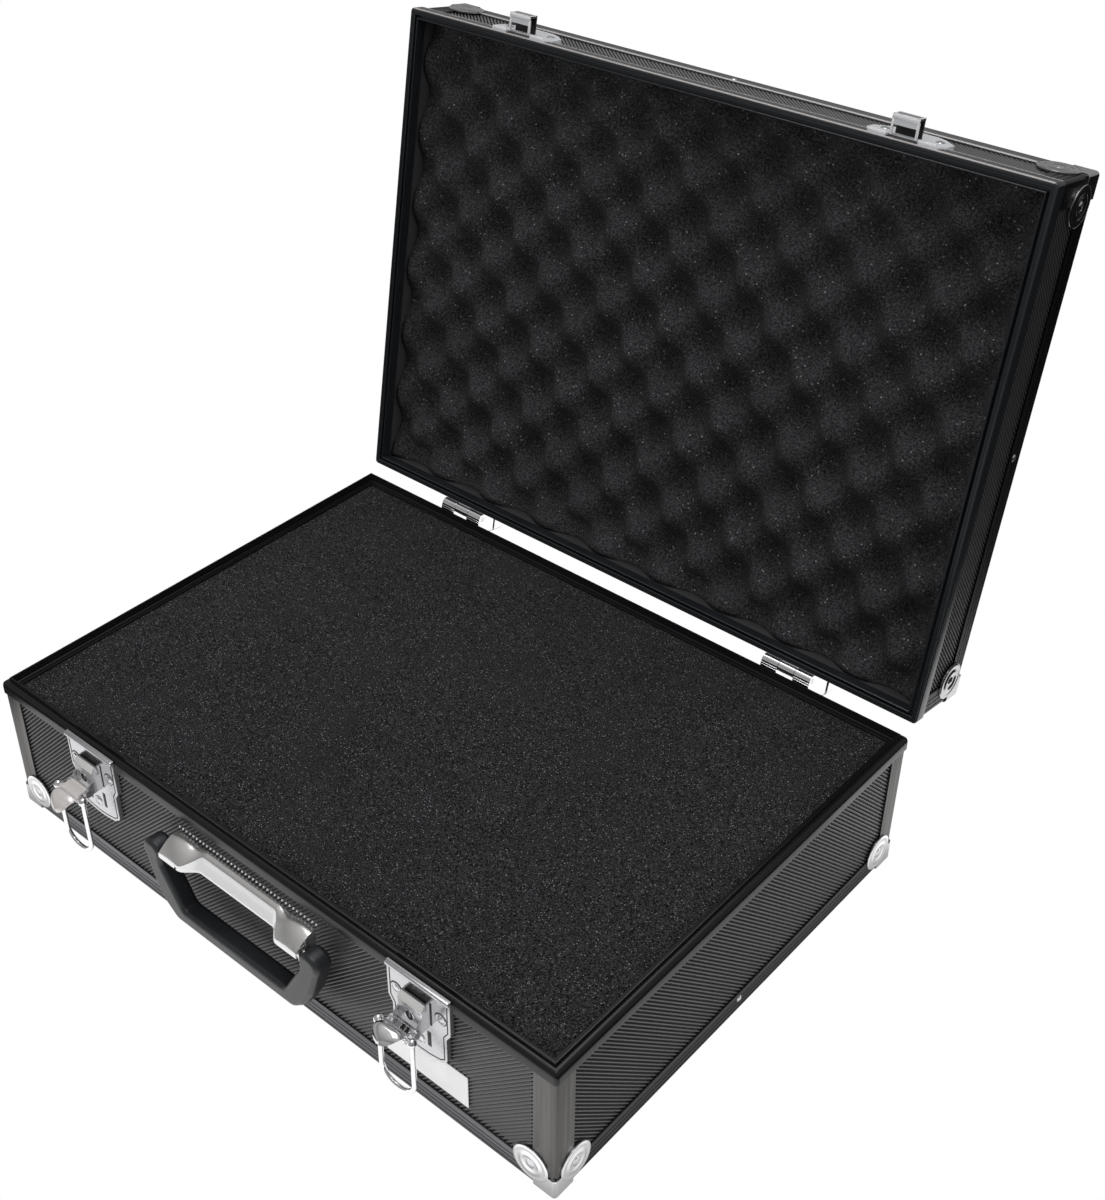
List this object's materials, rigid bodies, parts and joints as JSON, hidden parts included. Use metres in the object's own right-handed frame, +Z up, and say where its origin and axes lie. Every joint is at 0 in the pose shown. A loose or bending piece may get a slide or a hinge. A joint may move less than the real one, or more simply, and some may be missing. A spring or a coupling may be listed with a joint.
{
  "type": "microphone case",
  "caption": "Flat rectangular equipment case with a hinged lid, draw latches with wire loops, a folding handle, metal-capped corners and foam lining.",
  "frame": {"origin": "floor under the middle of the whole open case (bounding box bottom centre)", "axes": "+X to the right seen from the front, along the long side; +Y from the latches and handle towards the hinges; +Z up"},
  "size_m": [0.4618, 0.4758, 0.4451],
  "materials": {
    "ribbed_panel": "fine diagonal ribs, satin black",
    "edge_aluminium": "brushed grey-brown",
    "black_rim": "satin black",
    "chrome_cap": "polished",
    "rivet_steel": "polished",
    "flat_foam": "dark open-cell foam",
    "egg_crate_foam": "dark egg-crate foam",
    "handle_steel": "satin",
    "handle_plastic": "lightly grained black",
    "blank_plate": "smooth white",
    "hinge_steel": "polished",
    "lock_barrel": "polished",
    "bail_wire": "polished",
    "lever_steel": "satin chrome",
    "latch_steel": "satin chrome"
  },
  "bodies": {
    "base": {"base_cap_rivets": "rivet_steel", "base_corner_caps": "chrome_cap", "base_corner_posts": "edge_aluminium", "base_edge_back": "edge_aluminium", "base_edge_front": "edge_aluminium", "base_edge_left": "edge_aluminium", "base_edge_right": "edge_aluminium", "base_foam": "flat_foam", "base_panel_back": "ribbed_panel", "base_panel_flat": "ribbed_panel", "base_panel_front": "ribbed_panel", "base_panel_left": "ribbed_panel", "base_panel_right": "ribbed_panel", "base_rim_back": "black_rim", "base_rim_front": "black_rim", "base_rim_left": "black_rim", "base_rim_right": "black_rim", "base_rivets": "rivet_steel", "handle_pivots": "rivet_steel", "handle_plate": "handle_steel", "hinge_base_leaf_left": "hinge_steel", "hinge_base_leaf_right": "hinge_steel", "hinge_pins": "rivet_steel", "label_plate": "blank_plate", "latch_housing_left": "latch_steel", "latch_housing_right": "latch_steel", "latch_lever_pins": "rivet_steel", "latch_plate_left": "latch_steel", "latch_plate_right": "latch_steel"},
    "lid": {"hinge_lid_leaf_left": "hinge_steel", "hinge_lid_leaf_right": "hinge_steel", "lid_cap_rivets": "rivet_steel", "lid_catch_left": "latch_steel", "lid_catch_right": "latch_steel", "lid_corner_caps": "chrome_cap", "lid_corner_posts": "edge_aluminium", "lid_edge_back": "edge_aluminium", "lid_edge_front": "edge_aluminium", "lid_edge_left": "edge_aluminium", "lid_edge_right": "edge_aluminium", "lid_foam": "egg_crate_foam", "lid_panel_back": "ribbed_panel", "lid_panel_flat": "ribbed_panel", "lid_panel_front": "ribbed_panel", "lid_panel_left": "ribbed_panel", "lid_panel_right": "ribbed_panel", "lid_rim_back": "black_rim", "lid_rim_front": "black_rim", "lid_rim_left": "black_rim", "lid_rim_right": "black_rim", "lid_rivets": "rivet_steel"},
    "handle": {"handle_grip": "handle_plastic"},
    "lever_left": {"latch_lever_left": "lever_steel"},
    "bail_left": {"latch_bail_left": "bail_wire"},
    "lock_left": {"latch_lock_left": "lock_barrel"},
    "lever_right": {"latch_lever_right": "lever_steel"},
    "bail_right": {"latch_bail_right": "bail_wire"},
    "lock_right": {"latch_lock_right": "lock_barrel"}
  },
  "joints": [
    {"name": "lid_hinge", "type": "hinge", "parent": "base", "child": "lid", "pos_m": [0, 0.12874, 0.1028], "axis": [1, 0, 0], "range_deg": [0, 100]},
    {"name": "handle_swing", "type": "hinge", "parent": "base", "child": "handle", "pos_m": [0, -0.21546, 0.07], "axis": [-1, 0, 0], "range_deg": [0, 95]},
    {"name": "lever_left", "type": "hinge", "parent": "base", "child": "lever_left", "pos_m": [-0.1375, -0.21826, 0.0758], "axis": [1, 0, 0], "range_deg": [0, 88]},
    {"name": "bail_left", "type": "hinge", "parent": "lever_left", "child": "bail_left", "pos_m": [-0.1375, -0.22526, 0.0758], "axis": [1, 0, 0], "range_deg": [-274.36, 0]},
    {"name": "lock_left", "type": "hinge", "parent": "base", "child": "lock_left", "pos_m": [-0.1375, -0.20596, 0.081], "axis": [0, -1, 0], "range_deg": [0, 90]},
    {"name": "lever_right", "type": "hinge", "parent": "base", "child": "lever_right", "pos_m": [0.1375, -0.21826, 0.0758], "axis": [1, 0, 0], "range_deg": [0, 108]},
    {"name": "bail_right", "type": "hinge", "parent": "lever_right", "child": "bail_right", "pos_m": [0.1375, -0.22484, 0.07819], "axis": [1, 0, 0], "range_deg": [-294.36, 0]},
    {"name": "lock_right", "type": "hinge", "parent": "base", "child": "lock_right", "pos_m": [0.1375, -0.20596, 0.081], "axis": [0, -1, 0], "range_deg": [0, 90]}
  ],
  "couplings": [
    {"joint": "bail_left", "follows": "lever_left", "ratio": -3.1121},
    {"joint": "bail_right", "follows": "lever_right", "ratio": -2.721}
  ]
}
